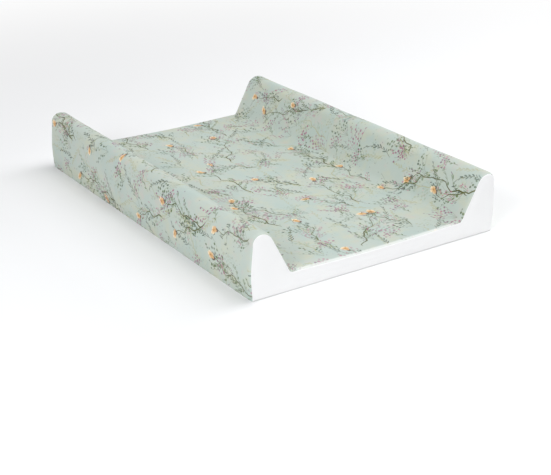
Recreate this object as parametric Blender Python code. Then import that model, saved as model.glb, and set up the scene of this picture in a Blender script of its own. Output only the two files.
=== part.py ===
"""Padded changing mat with two raised sides: a glued foam body in a welded film skin.

The origin is the middle of the footprint, on the surface that the mat rests on. X runs across the mat from
bolster to bolster, Y along the bolsters with the front end at -Y, and Z points up. Lengths are in metres.
"""

import math

import bmesh
import bpy
import numpy as np
from mathutils import Matrix

# Overall sizes
SEAM_WIDTH = 0.484  # between the bottom seams of the two outer sides
MAT_DEPTH = 0.700  # from the front end panel's face to the vents' flanges at the rear
MAT_HEIGHT = 0.107  # from the resting face to the bolsters' ridges

# Lying surface
PAD_HEIGHT = 0.0325  # its height beside the bolsters
PAD_DISH = 0.003  # how far its middle sinks below that
FOOT_RADIUS_AT_ENDS = 0.0065  # the film's hollow round where it turns up a bolster, at the end seams
FOOT_RADIUS_MIDWAY = 0.020  # the same where the film bridges the corner, away from the seams
FOOT_EASE_RUN = 0.140  # distance from an end over which the one turns into the other

# Bolsters, measured in from the bottom seam
BOLSTER_FOOT_WIDTH = 0.0715  # to the foot of the inner slope
BOLSTER_TOP_WIDTH = 0.032  # to where the inner slope would reach the ridge height
RIDGE_INNER_RADIUS = 0.0235
RIDGE_OUTER_RADIUS = 0.0165
RIDGE_FLAT = 0.0003  # the least level width left between the two rounds
SIDE_LEAN = 0.001  # how far the outer side leans in by the ridge height
SIDE_BULGE = 0.0028  # how far it swells out
BULGE_HEIGHT = 0.042  # where it swells most

# Film skin
FILM = 0.0008  # film with its thin fleece backing
END_DRAW_IN = 0.002  # how far the skin draws in to the end seams
END_ROUND_RUN = 0.006  # length over which it does so
FIT_GAP = 0.0003  # between pieces that touch
FOOT_TUCK = 0.001  # how far under a bolster the slab's end round runs out

# Vents in the rear end panel
VENT_SPACING = 0.220
VENT_BORE_RADIUS = 0.0019
VENT_WALL = 0.0005
VENT_FLANGE_RADIUS = 0.0045
VENT_FLANGE = 0.0005
VENT_WASHER = 0.0006
VENT_LIP = 0.0009  # how far the rolled lip reaches out past the barrel
VENT_POCKET_CLEARANCE = 0.001  # between the vent and the foam behind it
CUT_OVERRUN = 0.002

# Shape exponent of the dish and of the bulge, which both run out level at their ends
FULLNESS = 1.5

# Faces that meet at less than this are shaded as one round
CREASE_ANGLE = math.radians(35)

# Segment counts
LYING_SEGMENTS = 5
FOOT_SEGMENTS = 4
RIDGE_SEGMENTS = 5
BOLSTER_SIDE_SEGMENTS = 4
SLAB_SIDE_SEGMENTS = 2
END_ROUND_SEGMENTS = 2
MIDWAY_SEGMENTS = 5
TURNED_SEGMENTS = 24

# Derived places
SEAM_X = SEAM_WIDTH / 2
FRONT_FACE = -MAT_DEPTH / 2
REAR_FACE = MAT_DEPTH / 2 - VENT_FLANGE - FIT_GAP
SKIN_FRONT = FRONT_FACE + FILM + FIT_GAP
SKIN_REAR = REAR_FACE - FILM - FIT_GAP
SKIN_BOTTOM = FILM + FIT_GAP
FOOT_X = SEAM_X - BOLSTER_FOOT_WIDTH
RIDGE_X = SEAM_X - BOLSTER_TOP_WIDTH
SLOPE_ANGLE = math.atan2(MAT_HEIGHT - PAD_HEIGHT, RIDGE_X - FOOT_X)
FOAM_INSET = FILM + FIT_GAP
SLAB_TOP = PAD_HEIGHT - FOAM_INSET
BOLSTER_BOTTOM = SLAB_TOP + FIT_GAP
VENT_HEIGHT = (SKIN_BOTTOM + SLAB_TOP) / 2


def clear_scene():
    for item in list(bpy.data.objects):
        bpy.data.objects.remove(item, do_unlink=True)


def material(name, color, roughness, metallic=0.0):
    made = bpy.data.materials.new(name)
    made.use_nodes = True
    shader = made.node_tree.nodes["Principled BSDF"]
    shader.inputs["Base Color"].default_value = (*color, 1.0)
    shader.inputs["Roughness"].default_value = roughness
    shader.inputs["Metallic"].default_value = metallic
    made.diffuse_color = (*color, 1.0)
    return made


def finish_object(name, corners, faces, surface):
    """A solid from its corners and faces, with many-sided faces split and all faces turned outwards."""
    mesh = bpy.data.meshes.new(name)
    mesh.from_pydata(np.asarray(corners).tolist(), [], faces)
    shape = bmesh.new()
    shape.from_mesh(mesh)
    bmesh.ops.triangulate(shape, faces=[face for face in shape.faces if len(face.verts) > 4])
    bmesh.ops.recalc_face_normals(shape, faces=shape.faces)
    if shape.calc_volume(signed=True) < 0:
        bmesh.ops.reverse_faces(shape, faces=shape.faces)
    shape.to_mesh(mesh)
    shape.free()
    mesh.shade_smooth()
    mesh.set_sharp_from_angle(angle=CREASE_ANGLE)
    mesh.materials.append(surface)
    made = bpy.data.objects.new(name, mesh)
    bpy.context.scene.collection.objects.link(made)
    return made


def tube_faces(rings, points, closed):
    """Quads between neighbouring rings of as many points, and between the last and the first if closed."""
    return [
        (row * points + i, row * points + j, following * points + j, following * points + i)
        for row, following in ((k, (k + 1) % rings) for k in range(rings if closed else rings - 1))
        for i, j in ((k, (k + 1) % points) for k in range(points))
    ]


def loft(name, rings, surface):
    """A solid through closed rings of as many points each, with a face on each end."""
    count, points = len(rings), len(rings[0])
    faces = tube_faces(count, points, closed=False)
    faces.append(tuple(range(points)))
    faces.append(tuple(range((count - 1) * points, count * points)))
    return finish_object(name, np.concatenate(rings), faces, surface)


def arc_between(start, corner, end, radius, segments):
    """The round of a corner: an arc of a radius that touches the lines corner-start and corner-end."""
    start, corner, end = (np.array(point, dtype=float) for point in (start, corner, end))
    inward = (start - corner) / np.linalg.norm(start - corner)
    onward = (end - corner) / np.linalg.norm(end - corner)
    half_angle = math.acos(float(inward @ onward)) / 2
    bisector = (inward + onward) / np.linalg.norm(inward + onward)
    center = corner + bisector * radius / math.sin(half_angle)
    first = corner + inward * radius / math.tan(half_angle) - center
    last = corner + onward * radius / math.tan(half_angle) - center
    sweep = math.pi - 2 * half_angle
    turn = np.linspace(0, 1, segments + 1)[:, None]
    spoke = np.sin((1 - turn) * sweep) * first + np.sin(turn * sweep) * last
    return center + spoke / math.sin(sweep)


def ridge_radii():
    """The ridge's inner and outer radius, both reduced alike where the ridge is too narrow for them."""
    inner_run = RIDGE_INNER_RADIUS * math.tan(SLOPE_ANGLE / 2)
    room = BOLSTER_TOP_WIDTH - SIDE_LEAN - RIDGE_FLAT
    fit = min(1, room / (inner_run + RIDGE_OUTER_RADIUS))
    return RIDGE_INNER_RADIUS * fit, RIDGE_OUTER_RADIUS * fit


def side_top():
    """The height at which the ridge's outer round starts."""
    return MAT_HEIGHT - ridge_radii()[1]


def side_x(height):
    """Half the skin's width at a height: the leaning side line plus its bulge."""
    peak = math.log(0.5) / math.log(BULGE_HEIGHT / side_top())
    rise = np.clip(height / side_top(), 0, 1) ** peak
    lean = SIDE_LEAN * height / side_top()
    return SEAM_X - lean + SIDE_BULGE * np.sin(np.pi * rise) ** FULLNESS


def bolster_side_heights():
    """Heights down the outer side, from below the ridge's round to the slab's top."""
    return np.linspace(side_top(), SLAB_TOP, BOLSTER_SIDE_SEGMENTS + 1)[1:]


def slab_side_heights():
    """Heights down the outer side, from the slab's top to the bottom seam."""
    return np.linspace(SLAB_TOP, SKIN_BOTTOM, SLAB_SIDE_SEGMENTS + 1)


def bolster_path(heights):
    """The right bolster's skin: both ridge rounds, then the outer side down through the heights."""
    outer = SEAM_X - SIDE_LEAN
    ridge = (RIDGE_X, MAT_HEIGHT)
    shoulder = (outer, MAT_HEIGHT)
    inner_radius, outer_radius = ridge_radii()
    inner_round = arc_between((FOOT_X, PAD_HEIGHT), ridge, shoulder, inner_radius, RIDGE_SEGMENTS)
    outer_round = arc_between(ridge, shoulder, (outer, 0), outer_radius, RIDGE_SEGMENTS)
    side = np.column_stack([side_x(heights), heights])
    return np.concatenate([inner_round, outer_round, side])


def lying_height(reach, half_width):
    """The dished lying surface's height at a distance from its middle."""
    share = np.clip(1 - (reach / half_width) ** 2, 0, 1)
    return PAD_HEIGHT - PAD_DISH * share**FULLNESS


def skin_path(foot_radius):
    """The skin's whole section, from the left bottom seam over both bolsters to the right one."""
    foot_round = arc_between(
        (0, PAD_HEIGHT), (FOOT_X, PAD_HEIGHT), (RIDGE_X, MAT_HEIGHT), foot_radius, FOOT_SEGMENTS
    )
    flat_end = foot_round[0, 0]
    reach = np.linspace(0, flat_end, LYING_SEGMENTS + 1)[:-1]
    lying = np.column_stack([reach, lying_height(reach, flat_end)])
    heights = np.concatenate([bolster_side_heights(), slab_side_heights()[1:]])
    right = np.concatenate([lying, foot_round, bolster_path(heights)])
    left = right[:0:-1] * (-1, 1)
    return np.concatenate([left, right])


def inset(path, distance):
    """The path moved square to itself towards the foam, each facet by the same distance."""
    steps = np.diff(path, axis=0)
    steps /= np.linalg.norm(steps, axis=1)[:, None]
    before = np.concatenate([steps[:1], steps])
    after = np.concatenate([steps, steps[-1:]])
    along = (before + after) / np.linalg.norm(before + after, axis=1)[:, None]
    miter = np.sum(along * after, axis=1)
    return path + np.column_stack([along[:, 1], -along[:, 0]]) * (distance / miter)[:, None]


def skin_section(foot_radius, depth):
    """The skin's section moved in by a depth, with both ends kept at the bottom seams' height."""
    section = inset(skin_path(foot_radius), depth)
    section[[0, -1], 1] = SKIN_BOTTOM
    return section


def draw_in(place):
    """How far the skin has drawn in at a place along Y: a quarter ellipse near the end seams."""
    to_end = np.minimum(place - SKIN_FRONT, SKIN_REAR - place)
    share = np.clip(1 - to_end / END_ROUND_RUN, 0, 1)
    return END_DRAW_IN * (1 - np.sqrt(1 - share**2))


def foot_radius_at(place):
    """The hollow round's radius along Y, easing from its end value to its midway value."""
    to_end = min(place - SKIN_FRONT, SKIN_REAR - place)
    share = min(max(to_end / FOOT_EASE_RUN, 0), 1)
    ease = share * share * (3 - 2 * share)
    return FOOT_RADIUS_AT_ENDS + (FOOT_RADIUS_MIDWAY - FOOT_RADIUS_AT_ENDS) * ease


def stations(front, rear, midway_segments):
    """Places along Y from one end to the other: close together on the end rounds, evenly spaced between."""
    round_steps = END_ROUND_RUN * (1 - np.cos(np.linspace(0, math.pi / 2, END_ROUND_SEGMENTS + 1)))
    front_places = front + round_steps[:-1]
    rear_places = (rear - round_steps[:-1])[::-1]
    between = np.linspace(front + END_ROUND_RUN, rear - END_ROUND_RUN, midway_segments + 1)
    return np.concatenate([front_places, between, rear_places])


def placed(section, place):
    """A section's (x, z) points at a place along Y."""
    return np.column_stack([section[:, 0], np.full(len(section), place), section[:, 1]])


def foam_base_slab(surface):
    """The foam slab under the whole mat, dished above and with a pocket behind each vent."""
    rings = []
    for place in stations(SKIN_FRONT, SKIN_REAR, 1):
        depth = FOAM_INSET + float(draw_in(place))
        heights = slab_side_heights()[::-1]
        side = np.column_stack([side_x(heights) - depth, heights])
        slope_x = FOOT_X + depth / math.sin(SLOPE_ANGLE) - FOAM_INSET / math.tan(SLOPE_ANGLE)
        foot_x = FOOT_X + depth * math.tan(SLOPE_ANGLE / 2)
        reach = np.linspace(foot_x, 0, LYING_SEGMENTS + 1)
        dish = np.column_stack([reach, lying_height(reach, foot_x) - depth])
        right = np.concatenate([side, [(slope_x + FOOT_TUCK, SLAB_TOP)], dish])
        left = right[-2::-1] * (-1, 1)
        rings.append(placed(np.concatenate([right, left]), place))
    slab = loft("foam_base_slab", rings, surface)
    for center_x in vent_places():
        cut_round_hole(slab, center_x, pocket_radius(), SKIN_REAR - pocket_depth(), SKIN_REAR + CUT_OVERRUN)
    return slab


def foam_bolster(name, side, surface):
    """One foam wedge: flat where it's glued to the slab, and elsewhere the skin's shape inside the film."""
    heights = np.append(bolster_side_heights()[:-1], BOLSTER_BOTTOM)
    path = np.concatenate([[(FOOT_X, PAD_HEIGHT)], bolster_path(heights)])
    rings = []
    for place in stations(SKIN_FRONT, SKIN_REAR, 1):
        section = inset(path, FOAM_INSET + float(draw_in(place)))
        section[0] = foot_on_slab(section[0], section[1])
        section[-1, 1] = BOLSTER_BOTTOM
        rings.append(placed(section * (side, 1), place))
    return loft(name, rings, surface)


def foot_on_slab(low, high):
    """Where the slope line through two of its points meets the bolster's glued face."""
    return low + (high - low) * (BOLSTER_BOTTOM - low[1]) / (high[1] - low[1])


def printed_cover(surface):
    """The printed film over the lying surface, the bolsters and the outer sides, an open-ended strip."""
    places = stations(SKIN_FRONT, SKIN_REAR, MIDWAY_SEGMENTS)
    rings = []
    for place in places:
        drawn = float(draw_in(place))
        outside = placed(skin_section(foot_radius_at(place), drawn), place)
        inside = placed(skin_section(foot_radius_at(place), drawn + FILM), place)
        rings.append(np.concatenate([outside, inside[::-1]]))
    points = len(rings[0])
    faces = tube_faces(len(rings), points, closed=False)
    for end in (0, (len(rings) - 1) * points):
        last = end + points - 1
        faces += [(end + i, end + i + 1, last - i - 1, last - i) for i in range(points // 2 - 1)]
    return finish_object("printed_cover", np.concatenate(rings), faces, surface)


def end_panel(name, front, surface):
    """The film that closes an end: the skin's section at the end seam, closed along the underside."""
    section = skin_section(FOOT_RADIUS_AT_ENDS, END_DRAW_IN)
    return loft(name, [placed(section, front), placed(section, front + FILM)], surface)


def underside_panel(surface):
    """The film below: a flat sheet whose long edges follow the bottom seams."""
    places = stations(SKIN_FRONT, SKIN_REAR, 1)
    edge_x = SEAM_X - draw_in(places)
    right = np.column_stack([edge_x, places])
    right = np.concatenate([[(edge_x[0], FRONT_FACE)], right, [(edge_x[-1], REAR_FACE)]])
    outline = np.concatenate([right, right[::-1] * (-1, 1)])
    rings = [np.column_stack([outline, np.full(len(outline), height)]) for height in (0, FILM)]
    return loft("underside_panel", rings, surface)


def vent_places():
    return (-VENT_SPACING / 2, VENT_SPACING / 2)


def barrel_radius():
    return VENT_BORE_RADIUS + VENT_WALL


def barrel_length():
    """From the rear panel's face, through the panel and the washer, to the inside of the rolled lip."""
    return FILM + FIT_GAP + VENT_WASHER + FIT_GAP


def pocket_radius():
    return VENT_FLANGE_RADIUS + VENT_POCKET_CLEARANCE


def pocket_depth():
    return barrel_length() + VENT_WALL - FILM - FIT_GAP + VENT_POCKET_CLEARANCE


def turned(name, profile, center_x, surface):
    """A ring turned about a vent's axis from a closed profile of (distance from the axis, place along Y)."""
    angles = np.linspace(0, 2 * math.pi, TURNED_SEGMENTS, endpoint=False)
    radii, places = np.array(profile).T
    x = center_x + np.outer(np.cos(angles), radii)
    z = VENT_HEIGHT + np.outer(np.sin(angles), radii)
    y = np.tile(places, (TURNED_SEGMENTS, 1))
    corners = np.stack([x, y, z], axis=-1).reshape(-1, 3)
    faces = tube_faces(TURNED_SEGMENTS, len(profile), closed=True)
    return finish_object(name, corners, faces, surface)


def cut_round_hole(target, center_x, radius, start, end):
    """Cuts a round hole about a vent's axis out of a piece, between two places along Y."""
    shape = bmesh.new()
    bmesh.ops.create_cone(
        shape, cap_ends=True, segments=TURNED_SEGMENTS, radius1=radius, radius2=radius, depth=end - start
    )
    bmesh.ops.rotate(shape, verts=shape.verts, matrix=Matrix.Rotation(math.pi / 2, 3, "X"))
    bmesh.ops.translate(shape, verts=shape.verts, vec=(center_x, (start + end) / 2, VENT_HEIGHT))
    mesh = bpy.data.meshes.new("vent_cutter")
    shape.to_mesh(mesh)
    shape.free()
    cutter = bpy.data.objects.new("vent_cutter", mesh)
    bpy.context.scene.collection.objects.link(cutter)
    cutter.hide_render = True
    cutter.display_type = "WIRE"
    cut = target.modifiers.new("vent_hole", "BOOLEAN")
    cut.operation = "DIFFERENCE"
    cut.solver = "EXACT"
    cut.object = cutter


def vent(side_name, center_x, surface):
    """A vent: an eyelet with its flange outside, and the washer inside that its rolled lip holds."""
    outside = REAR_FACE + FIT_GAP
    washer_start = REAR_FACE - FILM - FIT_GAP
    lip_start = REAR_FACE - barrel_length()
    eyelet_profile = [
        (VENT_BORE_RADIUS, outside + VENT_FLANGE),
        (VENT_FLANGE_RADIUS, outside + VENT_FLANGE),
        (VENT_FLANGE_RADIUS, outside),
        (barrel_radius(), outside),
        (barrel_radius(), lip_start),
        (barrel_radius() + VENT_LIP, lip_start),
        (barrel_radius() + VENT_LIP, lip_start - VENT_WALL),
        (VENT_BORE_RADIUS, lip_start - VENT_WALL),
    ]
    washer_profile = [
        (barrel_radius() + FIT_GAP, washer_start),
        (VENT_FLANGE_RADIUS, washer_start),
        (VENT_FLANGE_RADIUS, washer_start - VENT_WASHER),
        (barrel_radius() + FIT_GAP, washer_start - VENT_WASHER),
    ]
    turned(f"{side_name}_vent_eyelet", eyelet_profile, center_x, surface)
    turned(f"{side_name}_vent_washer", washer_profile, center_x, surface)


def build():
    clear_scene()
    foam = material("cream_foam", (0.80, 0.74, 0.55), 0.95)
    print_film = material("mint_print_film", (0.56, 0.64, 0.58), 0.55)
    white_film = material("white_film", (0.87, 0.87, 0.87), 0.50)
    nickel = material("nickel", (0.70, 0.69, 0.66), 0.30, 1.0)

    foam_base_slab(foam)
    foam_bolster("left_foam_bolster", -1, foam)
    foam_bolster("right_foam_bolster", 1, foam)
    printed_cover(print_film)
    end_panel("front_end_panel", FRONT_FACE, white_film)
    rear_panel = end_panel("rear_end_panel", REAR_FACE - FILM, white_film)
    underside_panel(white_film)
    hole_radius = barrel_radius() + FIT_GAP
    hole_span = (REAR_FACE - FILM - CUT_OVERRUN, REAR_FACE + CUT_OVERRUN)
    for side_name, center_x in zip(("left", "right"), vent_places()):
        cut_round_hole(rear_panel, center_x, hole_radius, *hole_span)
        vent(side_name, center_x, nickel)


build()
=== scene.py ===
"""Looks of a padded changing mat: a printed film skin over a foam body, with white film ends and underside.

X runs across the mat, Y along its bolsters with the front end at -Y, and Z points up. Lengths are in metres.
"""

import math
from functools import partialmethod

import bpy
import numpy as np
from mathutils import Matrix, Vector


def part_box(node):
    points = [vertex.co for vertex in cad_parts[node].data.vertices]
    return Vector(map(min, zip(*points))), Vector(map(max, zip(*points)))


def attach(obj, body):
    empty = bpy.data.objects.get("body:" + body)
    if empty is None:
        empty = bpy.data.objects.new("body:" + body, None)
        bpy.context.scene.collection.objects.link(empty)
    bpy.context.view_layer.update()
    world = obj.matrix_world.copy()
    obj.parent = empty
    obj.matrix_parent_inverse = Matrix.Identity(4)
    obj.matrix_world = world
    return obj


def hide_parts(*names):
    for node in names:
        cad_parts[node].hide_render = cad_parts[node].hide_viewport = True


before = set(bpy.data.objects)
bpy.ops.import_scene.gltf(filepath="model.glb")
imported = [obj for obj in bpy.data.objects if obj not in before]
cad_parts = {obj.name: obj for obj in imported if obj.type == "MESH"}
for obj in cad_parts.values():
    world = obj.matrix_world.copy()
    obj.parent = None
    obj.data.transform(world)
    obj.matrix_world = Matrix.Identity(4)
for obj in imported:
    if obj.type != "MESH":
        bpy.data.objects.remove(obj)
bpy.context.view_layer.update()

# Places that the frame gives
underside_low, underside_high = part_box("underside_panel")
cover_low, cover_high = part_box("printed_cover")
slab_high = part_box("foam_base_slab")[1]
bolster_low, bolster_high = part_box("right_foam_bolster")
eyelet_low, eyelet_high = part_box("left_vent_eyelet")
FILM = underside_high.z
SEAM_X = underside_high.x
FRONT_FACE, REAR_FACE = underside_low.y, underside_high.y
SKIN_FRONT, SKIN_REAR = cover_low.y, cover_high.y
SKIN_BOTTOM = cover_low.z
MAT_HEIGHT = cover_high.z
FOAM_INSET = MAT_HEIGHT - bolster_high.z
PAD_HEIGHT = slab_high.z + FOAM_INSET
BOLSTER_BOTTOM = bolster_low.z
FIT_GAP = SKIN_BOTTOM - FILM

# Lying surface
PAD_DISH = 0.003  # how far its middle sinks
FOOT_RADIUS_AT_ENDS = 0.0065  # the hollow round where the film turns up a bolster, at the end seams
FOOT_RADIUS_MIDWAY = 0.020  # the same where the film bridges the corner
FOOT_EASE_RUN = 0.140

# Bolsters, measured in from the bottom seam
BOLSTER_FOOT_WIDTH = 0.0715
BOLSTER_TOP_WIDTH = 0.032
RIDGE_INNER_RADIUS = 0.0235
RIDGE_OUTER_RADIUS = 0.0165
SIDE_LEAN = 0.001
SIDE_BULGE = 0.0028
BULGE_HEIGHT = 0.042
FULLNESS = 1.5  # shape exponent of the dish and of the bulge
FOOT_TUCK = 0.001

# Film ends
END_DRAW_IN = 0.002  # how far the skin draws in to the end seams
END_ROUND_RUN = 0.006
PILLOW_HEIGHT = 0.0009  # how far an end film swells out between its seams
PILLOW_RUN = 0.014
RIM_ROUND = 0.0007  # round of an end film's welded rim

# Unevenness of the film
GATHER_HEIGHT = 0.00035  # the tiny gathers that the end seams leave in the film
GATHER_PITCH = 0.017
GATHER_FADE = 0.011
GATHER_SWAY = 0.8  # how far their phase sways across the film, in radians
GATHER_SWAY_PITCH = 3.1 * GATHER_PITCH
SWELL_HEIGHT = 0.00045  # slow swells over the foam
SWELL_LENGTH_ACROSS = 0.170
SWELL_LENGTH_ALONG = 1.3 * SWELL_LENGTH_ACROSS
SWELL_PHASE_ACROSS, SWELL_PHASE_ALONG = 0.7, 0.4

# Vents
VENT_BORE_RADIUS = 0.0019
VENT_WALL = 0.0005
VENT_LIP = 0.0009  # how far the rolled lip reaches out past the barrel
VENT_POCKET_CLEARANCE = 0.001  # between a vent and the foam round it
VENT_ROUNDING = 0.00022
VENT_EASE = 0.009  # the ring round a flange in which the rear film comes back flat
CUT_OVERRUN = 0.002

# Numbers of points on the lines of the surfaces
LYING_POINTS, FOOT_POINTS, SLOPE_POINTS = 30, 10, 18
INNER_ROUND_POINTS, OUTER_ROUND_POINTS, SIDE_POINTS = 15, 13, 20
END_ROUND_STATIONS, GATHER_STATIONS, RIM_STATIONS = 8, 12, 5
COVER_MIDWAY, UNDERSIDE_MIDWAY, FOAM_MIDWAY = 78, 30, 20  # stations between the end runs
END_FILM_ROWS, UNDERSIDE_COLUMNS = 26, 61
OUTLINE_STEPS = 5  # parts of each outline edge, where distances to the outline are taken
SLAB_SIDE_POINTS, SLAB_DISH_POINTS = 9, 25
RING_POINTS, HOLE_POINTS = 64, 48

# Places derived from those above
FOOT_X = SEAM_X - BOLSTER_FOOT_WIDTH
RIDGE_X = SEAM_X - BOLSTER_TOP_WIDTH
OUTER_X = SEAM_X - SIDE_LEAN
SIDE_TOP = MAT_HEIGHT - RIDGE_OUTER_RADIUS
SLOPE_ANGLE = math.atan2(MAT_HEIGHT - PAD_HEIGHT, RIDGE_X - FOOT_X)
BARREL_RADIUS = VENT_BORE_RADIUS + VENT_WALL
VENT_INNER_END = eyelet_low.y

CREASE = math.radians(40)  # faces that meet at more than this have a sharp edge between them
PRINT_MAP = "print_metres"  # the printed film's flat map, in metres
EDGE_BLUR = 0.0004  # soft edge of the print's ink

# The photograph's view
CAMERA_PLACE = (-1.1016, -1.6802, 0.8018)
CAMERA_HEADING = math.radians(34.138)
CAMERA_PITCH = math.radians(23.73)
CAMERA_ROLL = math.radians(0.079)
FOCAL_PIXELS = 1193.3
FRAME_WIDTH_PIXELS = 551
SENSOR_WIDTH_MM = 36

# Studio
WORLD_LIGHT = 0.27  # the world's strength as a light: where it is seen itself it is plain white
FLOOR_REACH = 8.0
FLOOR_FADE = (1.3, 1.6)  # how far out the floor turns plain white for the camera, and over what distance
PLAIN, COOL = (1, 1, 1), (0.945, 0.965, 1.0)
LAMP_TARGET = (0, 0, 0.05)
LAMPS = (  # name, place, size, watts and colour
    ("top", (0.35, -0.3, 2.6), 1.6, 26, PLAIN),
    ("left", (-2.2, -1.25, 1.35), 1.0, 36, COOL),
    ("right_low", (2.6, 0.2, 1.1), 1.0, 16, COOL),
    ("right_high", (1.5, -0.4, 2.0), 1.2, 16, COOL),
    ("front", (0.9, -2.9, 0.4), 0.6, 9.5, PLAIN),
    ("back", (-0.2, 3.0, 0.2), 0.4, 13, PLAIN),
)


def as_points(*coordinates):
    """Points from an array or a number for each coordinate, all brought to one shape."""
    return np.stack(np.broadcast_arrays(*coordinates), axis=-1)


def smooth_step(share):
    """3s^2 - 2s^3 of the share s held between 0 and 1: level at both ends."""
    held = np.clip(share, 0, 1)
    return held * held * (3 - 2 * held)


def wave(place, pitch, phase=0.0):
    """A sine wave of that pitch."""
    return np.sin(place * 2 * np.pi / pitch + phase)


def to_end(places):
    """Distance along Y to the nearer end of the skin."""
    return np.minimum(places - SKIN_FRONT, SKIN_REAR - places)


def draw_in(places):
    """How far the skin has drawn in along Y: a quarter ellipse near the end seams."""
    share = np.clip(1 - to_end(places) / END_ROUND_RUN, 0, 1)
    return END_DRAW_IN * (1 - np.sqrt(1 - share**2))


def foot_radius_at(places):
    """The foot's hollow round along Y: it eases from its end value to its midway value."""
    eased = smooth_step(to_end(places) / FOOT_EASE_RUN)
    return FOOT_RADIUS_AT_ENDS + (FOOT_RADIUS_MIDWAY - FOOT_RADIUS_AT_ENDS) * eased


def side_x(height):
    """Half the skin's width at a height: a leaning line and a bulge, sin(pi r)^1.5 with r = height^peak."""
    peak = math.log(0.5) / math.log(BULGE_HEIGHT / SIDE_TOP)
    rise = np.clip(height / SIDE_TOP, 0, 1) ** peak
    return SEAM_X - SIDE_LEAN * height / SIDE_TOP + SIDE_BULGE * np.sin(np.pi * rise) ** FULLNESS


def lying_height(share):
    """The dished lying surface at a share s of its half width: its height less a dish of (1 - s^2)^1.5."""
    return PAD_HEIGHT - PAD_DISH * np.clip(1 - share**2, 0, 1) ** FULLNESS


def bolster_curve():
    """The ridge's inner and outer rounds and the outer side down to the bottom seam, as (x, z) points."""
    inner = np.linspace(SLOPE_ANGLE, 0, INNER_ROUND_POINTS)
    inner_center = RIDGE_X + RIDGE_INNER_RADIUS * math.tan(SLOPE_ANGLE / 2)
    outer = np.linspace(0, math.pi / 2, OUTER_ROUND_POINTS)
    heights = np.linspace(SIDE_TOP, SKIN_BOTTOM, SIDE_POINTS)[1:]
    inner_x = inner_center - RIDGE_INNER_RADIUS * np.sin(inner)
    outer_x = OUTER_X - RIDGE_OUTER_RADIUS * (1 - np.sin(outer))
    return np.concatenate([
        as_points(inner_x, MAT_HEIGHT - RIDGE_INNER_RADIUS * (1 - np.cos(inner))),
        as_points(outer_x, MAT_HEIGHT - RIDGE_OUTER_RADIUS * (1 - np.cos(outer))),
        as_points(side_x(heights), heights),
    ])


def skin_section(places):
    """The skin's section at each place along Y, as an array of (place, point, x and z).

    It runs from the left bottom seam to the right one. Its right half is the dished lying surface, a hollow
    round of the foot's radius, the straight slope and the bolster's curve. Its left half mirrors it.
    """
    radius = foot_radius_at(places)[:, None]
    flat_end = FOOT_X - radius * math.tan(SLOPE_ANGLE / 2)
    share = np.linspace(0, 1, LYING_POINTS)
    lying = as_points(flat_end * share, lying_height(share))
    turn = np.linspace(0, SLOPE_ANGLE, FOOT_POINTS)[1:]
    foot = as_points(flat_end + radius * np.sin(turn), PAD_HEIGHT + radius * (1 - np.cos(turn)))
    ridge = np.tile(bolster_curve(), (len(places), 1, 1))
    climb = np.linspace(0, 1, SLOPE_POINTS)[1:-1, None]
    slope = foot[:, -1:] * (1 - climb) + ridge[:, :1] * climb
    right = np.concatenate([lying, foot, slope, ridge], axis=1)
    return np.concatenate([right[:, :0:-1] * (-1, 1), right], axis=1)


def outward(section):
    """The unit normals of each section, square to the line through a point's two neighbours."""
    along = np.gradient(section, axis=1)
    along /= np.linalg.norm(along, axis=-1, keepdims=True)
    return as_points(-along[..., 1], along[..., 0])


def path_length(section):
    """Each point's distance from the section's middle point, along the section."""
    steps = np.linalg.norm(np.diff(section, axis=1), axis=-1)
    length = np.concatenate([np.zeros((len(section), 1)), np.cumsum(steps, axis=1)], axis=1)
    return length - length[:, section.shape[1] // 2][:, None]


def unevenness(length, places):
    """How far the film stands off the foam's shape, never less than nothing, and nothing at the seams.

    Near the end seams it is a wave across the film that dies away exponentially. Everywhere there is one plus
    the product of two slow waves, one along each way of the film.
    """
    end = to_end(places)[:, None]
    bottom = length[:, -1:] - abs(length)
    sway = GATHER_SWAY * wave(length, GATHER_SWAY_PITCH)
    gathers = 1 + wave(length, GATHER_PITCH, sway)
    gathers = gathers * np.exp(-end / GATHER_FADE) * smooth_step(end / END_ROUND_RUN)
    across = wave(length, SWELL_LENGTH_ACROSS, SWELL_PHASE_ACROSS)
    along = wave(places[:, None], SWELL_LENGTH_ALONG, SWELL_PHASE_ALONG)
    slow = (1 + across * along) * smooth_step(end / GATHER_FADE)
    return (GATHER_HEIGHT * gathers + SWELL_HEIGHT * slow) * smooth_step(bottom / GATHER_FADE)


def stations(front, rear, midway):
    """Places along Y: close together on the end rounds and the gathers, evenly spaced between."""
    near = END_ROUND_RUN * (1 - np.cos(np.linspace(0, math.pi / 2, END_ROUND_STATIONS)))
    gathers = END_ROUND_RUN + np.linspace(0, 3 * GATHER_FADE, GATHER_STATIONS)[1:]
    end_run = np.concatenate([near, gathers])
    between = np.linspace(front + end_run[-1], rear - end_run[-1], midway)[1:-1]
    return np.concatenate([front + end_run, between, (rear - end_run)[::-1]])


def raised(section, places):
    """A section's (x, z) points with their place along Y put between."""
    return as_points(section[..., 0], places[:, None], section[..., 1])


def facing_out(corners, faces):
    """The faces, all turned round if the volume that they enclose comes out negative."""
    a, b, c, d = (corners[faces[:, side]] for side in range(4))
    volume = np.sum(a * np.cross(b, c)) + np.sum(a * np.cross(c, d))
    return faces if volume > 0 else faces[:, ::-1]


def shade(mesh):
    """Smooth shading with sharp edges at the creases."""
    mesh.shade_smooth()
    mesh.set_sharp_from_angle(angle=CREASE)


def add_object(name, data):
    made = bpy.data.objects.new(name, data)
    bpy.context.scene.collection.objects.link(made)
    return made


def make_piece(name, corners, faces, materials):
    """An object at the origin from an array of corners and an array of four-cornered faces."""
    mesh = bpy.data.meshes.new(name)
    mesh.from_pydata(corners.tolist(), [], facing_out(corners, faces).tolist())
    for material in materials:
        mesh.materials.append(material)
    shade(mesh)
    return add_object(name, mesh)


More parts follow.
